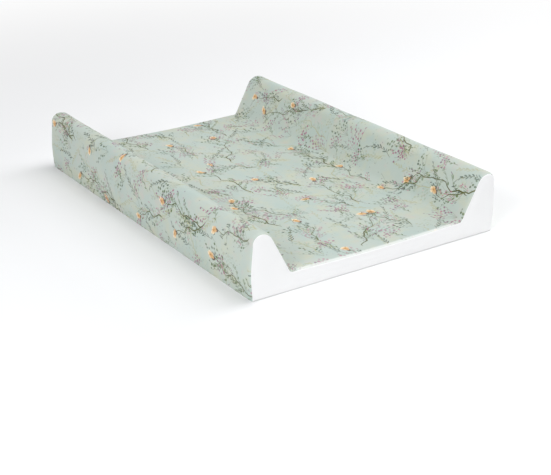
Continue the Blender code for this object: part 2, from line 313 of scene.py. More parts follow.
def grid_quads(corner):
    """The four-cornered faces of a grid of corner numbers, row by row."""
    quads = [corner[:-1, :-1], corner[:-1, 1:], corner[1:, 1:], corner[1:, :-1]]
    return np.stack(quads, axis=-1).reshape(-1, 4)


def film_shell(name, outer, inner, face_material, back_material):
    """A closed film: an outer and an inner grid, a rim round their edges. The back has its own material."""
    rows, columns = outer.shape[:2]
    count = rows * columns
    corners = np.concatenate([outer.reshape(-1, 3), inner.reshape(-1, 3)])
    corner = np.arange(count).reshape(rows, columns)
    quads = grid_quads(corner)
    edge = np.concatenate([corner[0, :-1], corner[:-1, -1], corner[-1, :0:-1], corner[:0:-1, 0]])
    onward = np.roll(edge, -1)
    rim = np.stack([onward, edge, edge + count, onward + count], axis=-1)
    faces = np.concatenate([quads, quads[:, ::-1] + count, rim])
    made = make_piece(name, corners, faces, [face_material, back_material])
    slots = np.zeros(len(faces), dtype=np.int32)
    slots[len(quads):2 * len(quads)] = 1
    made.data.polygons.foreach_set("material_index", slots)
    return made


def loop_corners(mesh):
    """The corner number of each of a mesh's loops."""
    index = np.zeros(len(mesh.loops), dtype=np.int32)
    mesh.loops.foreach_get("vertex_index", index)
    return index


def write_map(mesh, map_name, place):
    """Writes a UV map from one (u, v) for each loop."""
    layer = mesh.uv_layers.new(name=map_name)
    layer.data.foreach_set("uv", place.astype(np.float32).ravel())


def bake_map(mesh, outer):
    """Lays the outer film over most of the unit square, its back in a strip below, its rim beside it."""
    margin, strip = 0.006, 0.05
    rows, columns = outer.shape[:2]
    steps = np.linalg.norm(np.diff(outer[rows // 2], axis=0), axis=-1)
    across = np.concatenate([[0], np.cumsum(steps)])
    along = outer[:, 0, 1] - outer[0, 0, 1]
    across, along = np.meshgrid(across / across[-1], along / along[-1])
    outer_u = margin * 2 + (1 - 4 * margin) * across
    outer_v = strip + 3 * margin + (1 - strip - 5 * margin) * along
    inner_v = margin + (strip - 2 * margin) * along
    place = as_points(outer_u, [outer_v, inner_v]).reshape(-1, 2)
    index = loop_corners(mesh)
    rim_start = 2 * 4 * (rows - 1) * (columns - 1)  # past the four loops of each quad of both grids
    behind, base = np.divmod(index[rim_start:], rows * columns)
    row, column = np.divmod(base, columns)
    out_u = margin * ((column == columns - 1) * 1.0 - (column == 0))
    out_v = margin * ((row == rows - 1) * 1.0 - (row == 0))
    rim = place[base] + as_points(out_u, out_v) * behind[:, None]
    write_map(mesh, "OFBake", np.concatenate([place[index[:rim_start]], rim]))


class Field:
    """A number that nodes work out at each point of a surface, so that a pattern reads as arithmetic."""

    def __init__(self, socket):
        self.socket = socket
        self.tree = socket.id_data

    def math(self, operation, *others):
        numbers = dict(enumerate((self, *others)))
        return Field(add_node(self.tree, "Math", numbers, operation=operation).outputs[0])

    __add__ = __radd__ = partialmethod(math, "ADD")
    __sub__ = partialmethod(math, "SUBTRACT")
    __mul__ = __rmul__ = partialmethod(math, "MULTIPLY")
    __truediv__ = partialmethod(math, "DIVIDE")
    __abs__ = partialmethod(math, "ABSOLUTE")
    floor = partialmethod(math, "FLOOR")
    sin = partialmethod(math, "SINE")
    cos = partialmethod(math, "COSINE")
    angle_from = partialmethod(math, "ARCTAN2")
    modulo = partialmethod(math, "FLOORED_MODULO")
    zigzag = partialmethod(math, "PINGPONG")
    larger = partialmethod(math, "MAXIMUM")
    root = partialmethod(math, "SQRT")
    over = partialmethod(math, "GREATER_THAN")  # 1 where the number is above the limit, 0 elsewhere

    def __rsub__(self, other):
        return (self * -1) + other

    def under(self, limit, blur=EDGE_BLUR):
        """1 where the number is below the limit, 0 above it, with a smooth edge as wide as the blur."""
        return (self - limit).between(blur / 2, -blur / 2, interpolation_type="SMOOTHSTEP")

    def within(self, low, high):
        """1 where the number is between the two, 0 elsewhere."""
        return self.over(low) * self.under(high, HARD_BLUR)

    def between(self, low, high, **settings):
        """The number mapped from low..high to 0..1, and held there."""
        inputs = {"Value": self, "From Min": low, "From Max": high}
        return Field(add_node(self.tree, "MapRange", inputs, **settings).outputs["Result"])


def feed(socket, value):
    """Links a field or another node's socket to a node's socket, or sets a plain value there."""
    source = value.socket if isinstance(value, Field) else value
    if isinstance(source, bpy.types.NodeSocket):
        socket.id_data.links.new(source, socket)
    else:
        socket.default_value = source


def add_node(tree, kind, inputs, **settings):
    """A new shader node with its settings, and with the inputs that are given by name or number."""
    node = tree.nodes.new("ShaderNode" + kind)
    for name, value in settings.items():
        setattr(node, name, value)
    for name, value in inputs.items():
        feed(node.inputs[name], value)
    return node


def hypot(x, y):
    return (x * x + y * y).root()


def random_fields(*seeds):
    """Three numbers from 0 to 1 that three seeds settle: the colour of white noise at the seeds' place."""
    tree = seeds[0].tree
    gather = add_node(tree, "CombineXYZ", dict(enumerate(seeds)))
    noise = add_node(tree, "TexWhiteNoise", {"Vector": gather.outputs[0]}, noise_dimensions="3D")
    split = add_node(tree, "SeparateColor", {0: noise.outputs["Color"]})
    return [Field(output) for output in split.outputs]


def noise_node(place, scale, detail, roughness=0.5):
    """A smooth noise with this many blobs to a metre."""
    inputs = {"Vector": place, "Scale": scale, "Detail": detail, "Roughness": roughness}
    return add_node(place.id_data, "TexNoise", inputs)


def cloud(place, scale, detail=2.0, roughness=0.5):
    """Smooth noise as a field from 0 to 1."""
    return Field(noise_node(place, scale, detail, roughness).outputs["Fac"])


def linear(red, green, blue):
    """A colour given in the usual 0 to 255 numbers, as the linear numbers that shaders take."""
    share = np.array([red, green, blue]) / 255
    low, high = share / 12.92, ((share + 0.055) / 1.055) ** 2.4
    return (*np.where(share <= 0.04045, low, high).tolist(), 1.0)


def blend_colors(first, second, factor):
    """The first colour where the factor is 0, the second where it is 1. Each is a socket or four numbers."""
    node = add_node(factor.tree, "Mix", {"Factor": factor}, data_type="RGBA")
    for socket, color in zip([s for s in node.inputs if s.type == "RGBA"], (first, second)):
        feed(socket, color)
    return next(output for output in node.outputs if output.type == "RGBA")


# Print colours
MINT = linear(193, 203, 194)
MINT_BLUE = linear(186, 200, 193)
MINT_CREAM = linear(202, 204, 182)
BLUSH = linear(206, 196, 189)
TWIG = linear(92, 92, 52)
TWIG_SOFT = linear(102, 108, 70)
LEAF = linear(92, 114, 62)
LEAF_GREY = linear(88, 102, 92)
GHOST = linear(162, 180, 164)
GHOST_OCHRE = linear(182, 182, 146)
MAUVE = linear(130, 98, 122)
PINK = linear(186, 132, 150)
APRICOT = linear(234, 198, 146)
AMBER = linear(204, 148, 90)
PETAL_EDGE = linear(244, 228, 196)
CALYX = linear(92, 68, 54)
EDGE_HIGHLIGHT_WHITE = linear(238, 240, 236)  # a painted highlight: the light band where the film rounds over the lying surface's end edges

# The other finishes' colours, most as two tones that a cloud blends
WHITE_FILM_TONES = linear(242, 242, 242), linear(246, 246, 245)
FLEECE_TONES = linear(214, 214, 208), linear(238, 238, 234)
FOAM_TONES = linear(224, 214, 178), linear(234, 226, 196)
# The foam's pit colour below is painted shade for the hollows of its cells
FOAM_PIT_SHADE = linear(176, 162, 118)
NICKEL_TONES = linear(214, 212, 206), linear(224, 222, 218)
FLOOR_TONES = linear(247, 247, 247), linear(249, 249, 249)

# Washes under the print: colour, blobs to a metre, detail, roughness, where each starts and is full, strength
WASHES = (
    (MINT, 9.0, 4.0, 0.6, 0.38, 0.56, 1.0),
    (MINT_CREAM, 23.0, 5.0, 0.65, 0.48, 0.70, 0.85),
    (BLUSH, 37.0, 4.0, 0.6, 0.56, 0.72, 0.5),
)

# Drawing of the print
HARD_BLUR = 0.0001  # edge where a stem's side shoots start and stop
END_BLUR = 0.001  # soft end of a short stem
FULL_TURN = 6.3  # turns a random number into a random phase
FINE_STEM = 0.0004  # half width of a spray's and an umbel's stem
PETALS = 5
SHOOT_ANGLE, LEAF_ANGLE, SPRAY_ANGLE, UMBEL_LEAF_ANGLE = (math.radians(angle) for angle in (43, 42, 38, 40))
LEAF_PITCH = 0.0074
SPRAY_PITCH = 0.0082
UMBEL_LEAF_PITCH = 0.011
BUD_PITCH = 0.0050
BUD_RAY_STEP = 0.26  # turn from one ray of a bud fan to the next, in radians
WIDE_KINK, FINE_KINK = 0.0270, 0.0165  # how far a twig runs from kink to kink
FLECK_CELL = 0.0112
SECOND_DRAW = 40.0  # added to a layer's seed for its second draw


def turned_by(x, y, angle):
    """The place (x, y) as seen from axes turned by an angle."""
    cosine, sine = angle.cos(), angle.sin()
    return x * cosine + y * sine, y * cosine - x * sine


def scattered(u, v, cell, jitter, heading, spread, seed):
    """Places a motif once in each cell of a brick-like pattern, moved, turned and mirrored at random.

    Every second column is moved by half a cell. A motif points along its heading, give or take half the
    spread, and keeps inside its cell if it reaches no farther than half the cell less the jitter. Returns
    the place in the motif's own axes, and two more random numbers of that cell.
    """
    across, up = u / cell, v / cell
    column = across.floor()
    up = up + column.modulo(2.0) * 0.5
    row = up.floor()
    shift_x, shift_y, spin = random_fields(column, row, seed)
    first, second, flip = random_fields(column, row, seed + SECOND_DRAW)
    x = (across - column - 0.5) * cell - (shift_x - 0.5) * (2 * jitter)
    y = (up - row - 0.5) * cell - (shift_y - 0.5) * (2 * jitter)
    x, y = turned_by(x, y, (spin - 0.5) * spread + heading)
    return x, y * (flip.over(0.5) * 2.0 - 1.0), first, second


def paint(ground, strokes):
    """The ground with strokes laid over it, each given as its mask, its ink and its strength."""
    for mask, ink, strength in strokes:
        ground = blend_colors(ground, ink, mask * strength)
    return ground


def line(distance, half_width):
    """A drawn line: 1 within its half width, with the ink's soft edge."""
    return abs(distance).under(half_width)


def dot(x, y, radius):
    """A drawn round spot of that radius."""
    return hypot(x, y).under(radius)


def side_shoots(x, y, pitch, angle):
    """Shoots that leave an axis on both sides in turn, a pitch apart, at an angle to it.

    Sheared along the angle, every point lies on just one shoot. Returns the shoot's number, the distance
    along the shoot, the distance beside it, and which side of the axis it is on, as 0 or 1.
    """
    side = y.over(0.0)
    reach = abs(y)
    sheared = (x - reach * (1 / math.tan(angle))) / pitch + side * 0.5
    number = sheared.floor()
    beside = (sheared - number - 0.5) * (pitch * math.sin(angle))
    return number, reach * (1 / math.sin(angle)), beside, side


def root_of(number, side, pitch):
    """Where on its axis a side shoot starts, given what side_shoots returns."""
    return (number + 0.5 - side * 0.5) * pitch


def lens(along, beside, length, half_width):
    """A leaf's lens shape: its half width follows a half sine wave over its length."""
    swell = ((along / length).between(0.0, 1.0) * math.pi).sin() * half_width
    return abs(beside).under(swell - EDGE_BLUR / 2)


def blossom(x, y, first, second, radius):
    """An open blossom seen a little from the side: five rounded petals round a soft heart, on a brown calyx.

    The petals are lobes of the cosine of the turn. They pale outwards, and darken where they meet.
    """
    present = second.over(0.06)
    calyx = hypot(x + radius * 0.85, (y - radius * 0.2) * 1.2).under(radius * 0.62, 0.0012)
    yield calyx * present, CALYX, 0.85
    tall = y * (first * 0.3 + 1.05)
    distance = hypot(x, tall) / radius
    petal = abs((tall.angle_from(x) * (PETALS / 2) + second * FULL_TURN).cos())
    shape = distance.under(petal.root() * 0.34 + 0.72, 0.10)
    color = blend_colors(AMBER, APRICOT, distance.between(0.10, 0.45))
    color = blend_colors(color, PETAL_EDGE, distance.between(0.4, 0.9))
    color = blend_colors(color, AMBER, petal.under(0.30, 0.3) * 0.7)
    color = blend_colors(color, AMBER, (x / radius).between(0.5, -0.9) * 0.75)
    yield shape * present, color, 0.97
    heart = distance.under(0.16, 0.16)
    yield heart * present, CALYX, 0.25


def branch(x, y, first, second, strength, length, pitch, wood, leaf, bud, bloom):
    """A long twig that sways and kinks, with alternate shoots that carry small leaves, or berries on stalks.

    The kinks are two zigzags of unlike lengths, added to a slow sine wave. The twig tapers and its shoots
    shorten towards its tip, where most twigs have a blossom of the bloom's radius if that is above 0.
    """
    start = x + length / 2
    sway = (start * (2 * math.pi / (1.5 * length)) + first * FULL_TURN).sin() * (0.055 * length)
    kinks = (start + first * length).zigzag(WIDE_KINK) * 0.30
    kinks = kinks + (start + second * length).zigzag(FINE_KINK) * 0.26
    middle_of_kinks = 0.009
    y = y - sway - kinks + middle_of_kinks
    share = (start / length).between(0.0, 1.0)

    number, along, beside, side = side_shoots(start, y, pitch, SHOOT_ANGLE)
    chance, length_share, kind = random_fields(number, side + first * 9.0, second * 9.0)
    beside = beside - along * along * ((length_share - 0.3) * 8.0)
    shoot = (length_share * 1.15 + 0.75) * pitch * (1.1 - share * 0.5)
    present = chance.over(0.16) * root_of(number, side, pitch).within(0.004, length * 0.97)

    leaf_number, leaf_along, leaf_beside, leaf_side = side_shoots(along, beside, LEAF_PITCH, LEAF_ANGLE)
    leaf_seeds = leaf_number + leaf_side * 31.0, number + side * 17.0, first * 7.0
    leaf_chance, leaf_size, leaf_tone = random_fields(*leaf_seeds)
    leaf_length = leaf_size * 0.0026 + 0.0046
    leaf_shape = lens(leaf_along, leaf_beside, leaf_length, leaf_size * 0.0007 + 0.0013)
    berry = dot(leaf_along - leaf_length * 0.75, leaf_beside, leaf_size * 0.0006 + 0.0012)
    stalk = line(leaf_beside, 0.00020) * leaf_along.under(leaf_length * 0.7) * 0.6
    fruiting = kind.over(0.60)
    leaf_mask = leaf_shape * (1.0 - fruiting) + berry.larger(stalk) * fruiting
    leaf_rooted = ((leaf_number + 0.5) * LEAF_PITCH).within(0.0, shoot)
    leaf_mask = leaf_mask * leaf_chance.over(0.22) * leaf_rooted * present

    stem_width = (1.0 - along / shoot * 0.5) * 0.00042
    yield line(beside, stem_width) * (along.under(shoot) * present), wood, strength * 0.8
    tint = blend_colors(leaf, bud, fruiting * leaf_tone.over(0.30))
    yield leaf_mask, tint, (leaf_tone * 0.4 + 0.58) * strength
    taper = (1.0 - share) * 0.0008 + 0.0005
    taper = taper * (share * 14.0 + 0.2).between(0.0, 1.0)
    yield line(y, taper) * abs(x).under(length / 2, 0.0006), wood, strength
    tip = dot(along - shoot, beside, leaf_size * 0.0005 + 0.0013) * present
    yield tip, blend_colors(leaf, bud, kind.over(0.45)), strength * 0.9
    if bloom:
        yield from blossom(start - length, y, first, second, bloom)


def spray(x, y, first, second, strength, length, stem, tint):
    """A leafy spray: a thin bowed stem with alternate narrow leaves that shorten towards the tip."""
    start = x + length / 2
    y = y - (x * x * ((first - 0.5) * 14.0)) + 0.002
    share = (start / length).between(0.0, 1.0)
    number, along, beside, side = side_shoots(start, y, SPRAY_PITCH, SPRAY_ANGLE)
    chance, size, tone = random_fields(number, side + first * 5.0, second * 5.0)
    leaf_length = (size * 0.0045 + 0.0070) * (1.1 - share * 0.6)
    leaf_mask = lens(along, beside - along * along * 8.0, leaf_length, size * 0.0007 + 0.0013)
    leaf_mask = leaf_mask * chance.over(0.15) * root_of(number, side, SPRAY_PITCH).within(0.006, length)
    yield leaf_mask, tint, (tone * 0.4 + 0.55) * strength
    yield line(y, FINE_STEM) * abs(x).under(length / 2, END_BLUR), stem, strength * 0.8


def umbel(x, y, first, second, strength, reach, berry):
    """A fan of fine stalks from one point, each of its own length with a berry at its tip, on one stem."""
    stem_y = y - x * x * ((first - 0.5) * 18.0)
    stem = line(stem_y, FINE_STEM) * abs(x + reach * 0.6).under(reach * 0.6, END_BLUR)
    number, along, beside, side = side_shoots(x, stem_y, UMBEL_LEAF_PITCH, UMBEL_LEAF_ANGLE)
    rooted = root_of(number, side, UMBEL_LEAF_PITCH).within(-reach * 1.1, -0.003)
    yield lens(along, beside, 0.0068, 0.0014) * rooted, LEAF, strength * 0.85
    yield stem, TWIG_SOFT, strength * 0.9
    distance = hypot(x, y)
    turn = y.angle_from(x)
    fan = abs(turn).under(1.75, 0.05)
    # Two rings of stalks: the turn between them, their shortest and longest share of the reach, a seed
    for step, low, high, ring_seed in ((0.40, 0.62, 1.0, 0.0), (0.56, 0.30, 0.60, 3.0)):
        number = (turn / step).floor()
        beside = (turn - (number + 0.5) * step) * distance
        share, size, tone = random_fields(number + ring_seed, first * 11.0, second * 11.0)
        length = (share * (high - low) + low) * reach
        yield line(beside, 0.00022) * distance.under(length) * fan, TWIG_SOFT, strength * 0.6
        tip = dot(distance - length, beside, size * 0.0008 + 0.0013) * fan
        yield tip, blend_colors(berry, PINK, tone), strength * 0.95


def bud_fan(x, y, first, second, strength, reach, stem, near, far):
    """Bud spikes that fan out from one foot: rays a fixed turn apart, with buds on both sides in turn."""
    start = x + reach / 2
    distance = hypot(start, y)
    turn = y.angle_from(start) + distance * ((first - 0.5) * 12.0)
    number = (turn / BUD_RAY_STEP).floor()
    beside = (turn - (number + 0.5) * BUD_RAY_STEP) * distance
    share, _, chance = random_fields(number, first * 11.0, second * 11.0)
    length = (share * 0.5 + 0.5) * reach
    fan = abs(turn).under(0.66, 0.05) * chance.over(0.18)
    yield line(beside, 0.00028) * distance.under(length) * fan, stem, strength * 0.6
    bud = (distance / BUD_PITCH).floor()
    side = bud.modulo(2.0) * 2.0 - 1.0
    size, tone, kept = random_fields(bud, number, second * 13.0)
    center = (bud + 0.5) * BUD_PITCH
    mask = dot((distance - center) * 0.72, beside - side * 0.0018, size * 0.0006 + 0.0012)
    mask = mask * center.within(length * 0.38, length) * kept.over(0.15) * fan
    yield mask, blend_colors(near, far, tone), (size * 0.35 + 0.6) * strength


def flecks(u, v, place):
    """Loose little leaves and petals, thick where a slow cloud is high and few where it is low."""
    x, y, first, second = scattered(
        u, v, FLECK_CELL, jitter=0.0040, heading=0.0, spread=2 * math.pi, seed=71.0)
    where = cloud(place, 16.0).over(0.50) * second.over(0.40)
    leaf_mask = lens(x + 0.0016, y, 0.0034, first * 0.0005 + 0.0007) * where
    tint = blend_colors(LEAF_GREY, MAUVE, second.over(0.78))
    yield leaf_mask, tint, first * 0.35 + 0.25


def hand_drawn(place):
    """The place moved a little by coarse and fine smooth noise, so that no stroke runs straight."""
    for scale, reach in ((13.0, 0.014), (80.0, 0.0026)):
        inputs = {0: noise_node(place, scale, 0.0).outputs["Color"], 1: (reach, reach, 0.0), 2: place}
        place = add_node(place.id_data, "VectorMath", inputs, operation="MULTIPLY_ADD").outputs[0]
    return place


def new_material(name):
    """A material with its node tree and its Principled shader."""
    made = bpy.data.materials.new(name)
    made.use_nodes = True
    return made, made.node_tree, made.node_tree.nodes["Principled BSDF"]


def object_place(tree):
    return tree.nodes.new("ShaderNodeTexCoord").outputs["Object"]


def flat_place(place):
    """A place's first two numbers, as fields."""
    split = add_node(place.id_data, "SeparateXYZ", {0: place})
    return Field(split.outputs[0]), Field(split.outputs[1])


def bump(shader, height, distance, strength):
    inputs = {"Height": height, "Distance": distance, "Strength": strength}
    feed(shader.inputs["Normal"], add_node(height.tree, "Bump", inputs).outputs["Normal"])


def film_surface(shader, place, roughness):
    """A satin film's finish: fine grain in its bump, and a slow change of its gloss."""
    gloss_range = 0.10
    gloss = cloud(place, 38.0) * gloss_range + (roughness - gloss_range / 2)
    feed(shader.inputs["Roughness"], gloss)
    shader.inputs["Specular IOR Level"].default_value = 0.15
    bump(shader, cloud(place, 1400.0, detail=1.0), distance=0.00004, strength=0.35)


def printed_film_material():
    """Mint film with a scattered garden print: twigs, blossoms, umbels and sprays over faint washes."""
    made, tree, shader = new_material("printed_mint_film")
    place = add_node(tree, "UVMap", {}, uv_map=PRINT_MAP).outputs[0]
    ground = paint(MINT_BLUE, (
        (cloud(place, scale, detail, roughness).between(low, high), color, strength)
        for color, scale, detail, roughness, low, high, strength in WASHES
    ))
    fade = cloud(place, 12.0).between(0.32, 0.56) * 0.36 + 0.64
    drawn_u, drawn_v = flat_place(hand_drawn(place))

    def layer(motif, cell, jitter, heading, spread, seed, strength, *look):
        """One motif scattered over the ground, its lattice leaning by an angle that comes from its seed."""
        lean = (seed * 0.7) % 1.0 - 0.5
        u = drawn_u * math.cos(lean) + drawn_v * math.sin(lean) + seed * 0.013
        v = drawn_v * math.cos(lean) - drawn_u * math.sin(lean) + seed * 0.029
        placed = scattered(u, v, cell, jitter, heading - lean, spread, seed)
        return paint(ground, motif(*placed, fade * strength, *look))

    # Each layer's cell, jitter, heading, spread, seed and strength, then its motif's own sizes and inks
    ground = layer(branch, 0.132, 0.008, 1.1, 1.2, 3.0, 0.9, 0.088, 0.016, GHOST_OCHRE, GHOST, BLUSH, 0)
    ground = layer(bud_fan, 0.083, 0.008, 1.9, 1.6, 67.0, 0.8, 0.052, GHOST, GHOST, GHOST_OCHRE)
    ground = layer(spray, 0.074, 0.008, 1.9, 1.4, 11.0, 1.0, 0.050, GHOST_OCHRE, GHOST_OCHRE)
    ground = paint(ground, flecks(drawn_u, drawn_v, place))
    ground = layer(bud_fan, 0.085, 0.007, 1.7, 1.2, 53.0, 1.0, 0.056, TWIG_SOFT, LEAF_GREY, LEAF)
    ground = layer(spray, 0.092, 0.011, 1.3, 1.6, 17.0, 1.0, 0.062, TWIG, LEAF_GREY)
    ground = layer(branch, 0.172, 0.008, 1.35, 0.9, 23.0, 1.0, 0.142, 0.023, TWIG, LEAF, MAUVE, 0.0078)
    ground = layer(branch, 0.124, 0.007, 1.9, 1.1, 31.0, 1.0, 0.092, 0.017, TWIG_SOFT, LEAF_GREY, PINK, 0.007)
    ground = layer(bud_fan, 0.106, 0.012, 1.45, 1.2, 61.0, 1.0, 0.060, TWIG_SOFT, MAUVE, PINK)
    ground = layer(umbel, 0.098, 0.022, 1.6, 1.8, 41.0, 1.0, 0.0190, MAUVE)

    u, v = flat_place(place)
    from_seam = abs(v) * -1.0 + SKIN_REAR
    # A painted highlight: a light band along the lying surface's end edges, in place of the light that the
    # rounded film edge catches
    painted_edge_highlight = from_seam.under(0.0028, 0.0050) * abs(u).under(FOOT_X - 0.012, 0.020)
    feed(shader.inputs["Base Color"], paint(ground, [(painted_edge_highlight, EDGE_HIGHLIGHT_WHITE, 0.75)]))
    film_surface(shader, place, roughness=0.50)
    return made


def white_film_material():
    """Plain white film of the same satin finish."""
    made, tree, shader = new_material("white_satin_film")
    place = object_place(tree)
    feed(shader.inputs["Base Color"], blend_colors(*WHITE_FILM_TONES, cloud(place, 9.0)))
    film_surface(shader, place, roughness=0.44)
    return made


def fleece_material():
    """The film's off-white fleece back: short tangled fibres."""
    made, tree, shader = new_material("fleece_backing")
    fibres = cloud(object_place(tree), 900.0, detail=6.0, roughness=0.75)
    feed(shader.inputs["Base Color"], blend_colors(*FLEECE_TONES, fibres.between(0.35, 0.65)))
    shader.inputs["Roughness"].default_value = 0.95
    bump(shader, fibres, distance=0.0003, strength=0.6)
    return made


def foam_material():
    """Open-cell foam: pale walls round pits painted darker as shade, one to a millimetre or so."""
    made, tree, shader = new_material("cream_foam")
    place = object_place(tree)
    depth = Field(add_node(tree, "TexVoronoi", {"Vector": place, "Scale": 850.0}).outputs["Distance"])
    cream = blend_colors(*FOAM_TONES, cloud(place, 25.0))
    # Painted shade: the colour goes dark in the pits that the bump sinks
    feed(shader.inputs["Base Color"], blend_colors(FOAM_PIT_SHADE, cream, depth.between(0.1, 0.5)))
    shader.inputs["Roughness"].default_value = 0.95
    bump(shader, depth, distance=0.0006, strength=0.7)
    return made


def nickel_material():
    """Nickel plate with a fine, even grain."""
    made, tree, shader = new_material("nickel_plate")
    brushed = cloud(object_place(tree), 2600.0, detail=3.0)
    shader.inputs["Metallic"].default_value = 1.0
    feed(shader.inputs["Base Color"], blend_colors(*NICKEL_TONES, brushed))
    feed(shader.inputs["Roughness"], brushed * 0.14 + 0.22)
    bump(shader, brushed, distance=0.00002, strength=0.3)
    return made


def floor_material():
    """A pale floor that keeps shadows near the mat and, to the camera, fades to plain white far off."""
    made, tree, shader = new_material("pale_floor")
    place = object_place(tree)
    feed(shader.inputs["Base Color"], blend_colors(*FLOOR_TONES, cloud(place, 3.0)))
    shader.inputs["Roughness"].default_value = 0.8
    near = hypot(*flat_place(place)).under(*FLOOR_FADE)
    rays = tree.nodes.new("ShaderNodeLightPath")
    white = add_node(tree, "Emission", {})
    far_seen = (1.0 - near) * Field(rays.outputs["Is Camera Ray"])
    mix = add_node(tree, "MixShader", {0: far_seen, 1: shader.outputs[0], 2: white.outputs[0]})
    output = next(node for node in tree.nodes if node.type == "OUTPUT_MATERIAL")
    feed(output.inputs["Surface"], mix.outputs[0])
    return made


def dress(piece, node):
    """Puts a piece in the place of its solid: it rides where the solid does and hides it."""
    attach(piece, "root")
    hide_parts(node)
    return piece


def printed_cover(print_film, fleece):
    """The printed film: the skin's section at every station, with its unevenness, drawn in at both ends.

    Returns the film, and its width along the section.
    """
    places = stations(SKIN_FRONT, SKIN_REAR, COVER_MIDWAY)
    section = skin_section(places)
    normal = outward(section)
    length = path_length(section)
    lift = unevenness(length, places) - draw_in(places)[:, None]
    outer = section + normal * lift[..., None]
    inner = section + normal * (lift - FILM)[..., None]
    for face in (outer, inner):
        face[:, [0, -1], 1] = SKIN_BOTTOM
    outer, inner = raised(outer, places), raised(inner, places)
    made = film_shell("printed_film_cover", outer, inner, print_film, fleece)
    flat = as_points(length, places[:, None]).reshape(-1, 2)
    write_map(made.data, PRINT_MAP, np.tile(flat, (2, 1))[loop_corners(made.data)])
    bake_map(made.data, outer)
    middle = len(places) // 2
    return made, length[middle, -1] - length[middle, 0]


def rim_round(gap):
    """How far a film's face turns back this near its outline: a quarter circle of the rim's radius."""
    short = np.maximum(RIM_ROUND - gap, 0)
    return RIM_ROUND - np.sqrt(RIM_ROUND**2 - np.minimum(short, RIM_ROUND) ** 2)


def end_film(name, face, inward, holes, white_film, fleece):
    """An end film: the end section's upper line, carried down to the bottom seam in closer and wider rows.

    Its face swells out between the seams by a share that rises smoothly with the distance from the outline,
    stays flat under the vents' flanges, and turns back in a small round at the rim. The columns lean with the
    bulged sides. Returns the film, and the area inside its outline.
    """
    section = skin_section(np.array([SKIN_FRONT]))
    section = (section - outward(section) * END_DRAW_IN)[0]
    upper = np.flatnonzero(section[:, 1] >= SIDE_TOP - 1e-5)
    top = section[upper[0]:upper[-1] + 1]
    spread = (1 - np.cos(np.pi * np.linspace(0, 1, END_FILM_ROWS))) / 2
    z = SKIN_BOTTOM + spread[:, None] * (top[:, 1] - SKIN_BOTTOM)
    half_width, half_top = (side_x(np.minimum(height, SIDE_TOP)) - END_DRAW_IN for height in (z, top[:, 1]))
    x = top[:, 0] * (half_width / half_top)
    points = as_points(x, z)
    outline = np.concatenate([points[0], points[:, -1], top[::-1], points[::-1, 0]])
    steps = np.linspace(0, 1, OUTLINE_STEPS + 1)[:-1, None, None]
    dense = (outline[:-1] * (1 - steps) + outline[1:] * steps).reshape(-1, 2)
    gap = np.stack([np.linalg.norm(row[:, None] - dense, axis=-1).min(axis=1) for row in points])
    swell = smooth_step(gap / PILLOW_RUN)
    for center, flange in holes:
        swell = swell * smooth_step((np.hypot(x - center.x, z - center.z) - flange) / VENT_EASE)
    y = face - inward * (PILLOW_HEIGHT * swell - rim_round(gap))
    made = film_shell(name, as_points(x, y, z), as_points(x, y + inward * FILM, z), white_film, fleece)
    for center, _ in holes:
        cut_hole(made, center, BARREL_RADIUS + FIT_GAP, face - CUT_OVERRUN, face + CUT_OVERRUN)
    area = abs(np.sum(outline[:-1, 0] * outline[1:, 1] - outline[1:, 0] * outline[:-1, 1])) / 2
    return made, area


def underside_film(white_film, fleece):
    """The film below: flat where it rests, its long edges following the bottom seams, its rim rounded up."""
    turn = RIM_ROUND * (1 - np.cos(np.linspace(0, math.pi / 2, RIM_STATIONS)))
    inside = stations(SKIN_FRONT, SKIN_REAR, UNDERSIDE_MIDWAY)
    places = np.concatenate([FRONT_FACE + turn, inside, (REAR_FACE - turn)[::-1]])
    spread = np.sin(np.pi / 2 * np.linspace(-1, 1, UNDERSIDE_COLUMNS))
    half = SEAM_X - draw_in(np.clip(places, SKIN_FRONT, SKIN_REAR))
    x = half[:, None] * spread
    y = places[:, None]
    gap = np.minimum(half[:, None] - abs(x), np.minimum(y - FRONT_FACE, REAR_FACE - y))
    lower = as_points(x, y, rim_round(np.maximum(gap, 0)))
    return film_shell("white_underside_film", lower, as_points(x, y, FILM), white_film, fleece)


def closed_loft(name, rings, materials):
    """A block through closed rings of (x, y, z) points, with a flat face on each end."""
    count, size = rings.shape[:2]
    corner = np.arange(count * size).reshape(count, size)
    quads = grid_quads(np.pad(corner, ((0, 0), (0, 1)), "wrap"))
    near = np.arange(size // 2 - 1)
    far = near + 1
    lid = as_points(near, far, size - 1 - far, size - 1 - near)
    faces = np.concatenate([quads, lid[:, ::-1], lid + (count - 1) * size])
    return make_piece(name, rings.reshape(-1, 3), faces, materials)


def cut_hole(piece, center, radius, start, end):
    """Cuts a round hole along Y out of a piece, by taking a drum of that radius away from it."""
    turn = np.linspace(0, 2 * np.pi, HOLE_POINTS, endpoint=False)
    x, z = center.x + radius * np.cos(turn), center.z + radius * np.sin(turn)
    rings = as_points(x, [[start], [end]], z)
    drum = closed_loft("vent_drum", rings, [])
    cut = piece.modifiers.new("vent_hole", "BOOLEAN")
    cut.object = drum
    bpy.context.view_layer.update()
    finished = piece.evaluated_get(bpy.context.evaluated_depsgraph_get())
    mesh = bpy.data.meshes.new_from_object(finished)
    piece.modifiers.clear()
    piece.data = mesh
    shade(mesh)
    bpy.data.objects.remove(drum)


